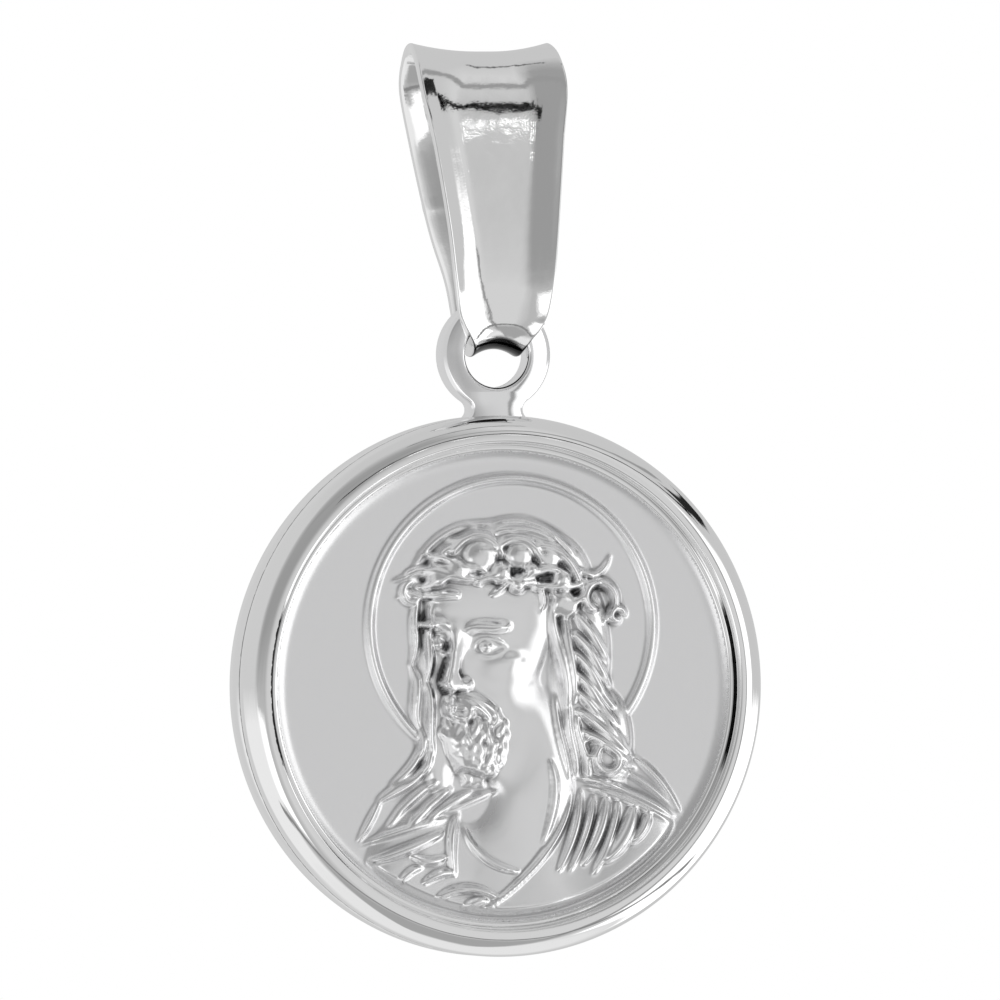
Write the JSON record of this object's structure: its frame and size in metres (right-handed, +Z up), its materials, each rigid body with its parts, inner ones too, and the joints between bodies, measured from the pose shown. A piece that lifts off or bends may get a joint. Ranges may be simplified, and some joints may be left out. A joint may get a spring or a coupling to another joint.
{
  "type": "religious medal pendant",
  "caption": "Round struck medal with a rolled rim and a haloed bust in relief, hanging by its eye from a tapered, fluted bail.",
  "frame": {"origin": "inside top of the bail, where a chain runs and holds the pendant up", "axes": "+Z up along the hanging pendant, -Y out of the medal's front, +X to the viewer's right"},
  "size_m": [0.016, 0.0036, 0.0271],
  "materials": {
    "satin_silver": "fine matte struck silver field with a brighter relief",
    "polished_silver": "bright polished silver"
  },
  "bodies": {
    "bail": {"bail": "polished_silver"},
    "medal": {"medal": "satin_silver"}
  },
  "joints": [
    {"name": "medal_swing", "type": "hinge", "parent": "bail", "child": "medal", "pos_m": [0, -0.00057, -0.00743], "axis": [1, 0, 0], "range_deg": [-20, 60]}
  ]
}
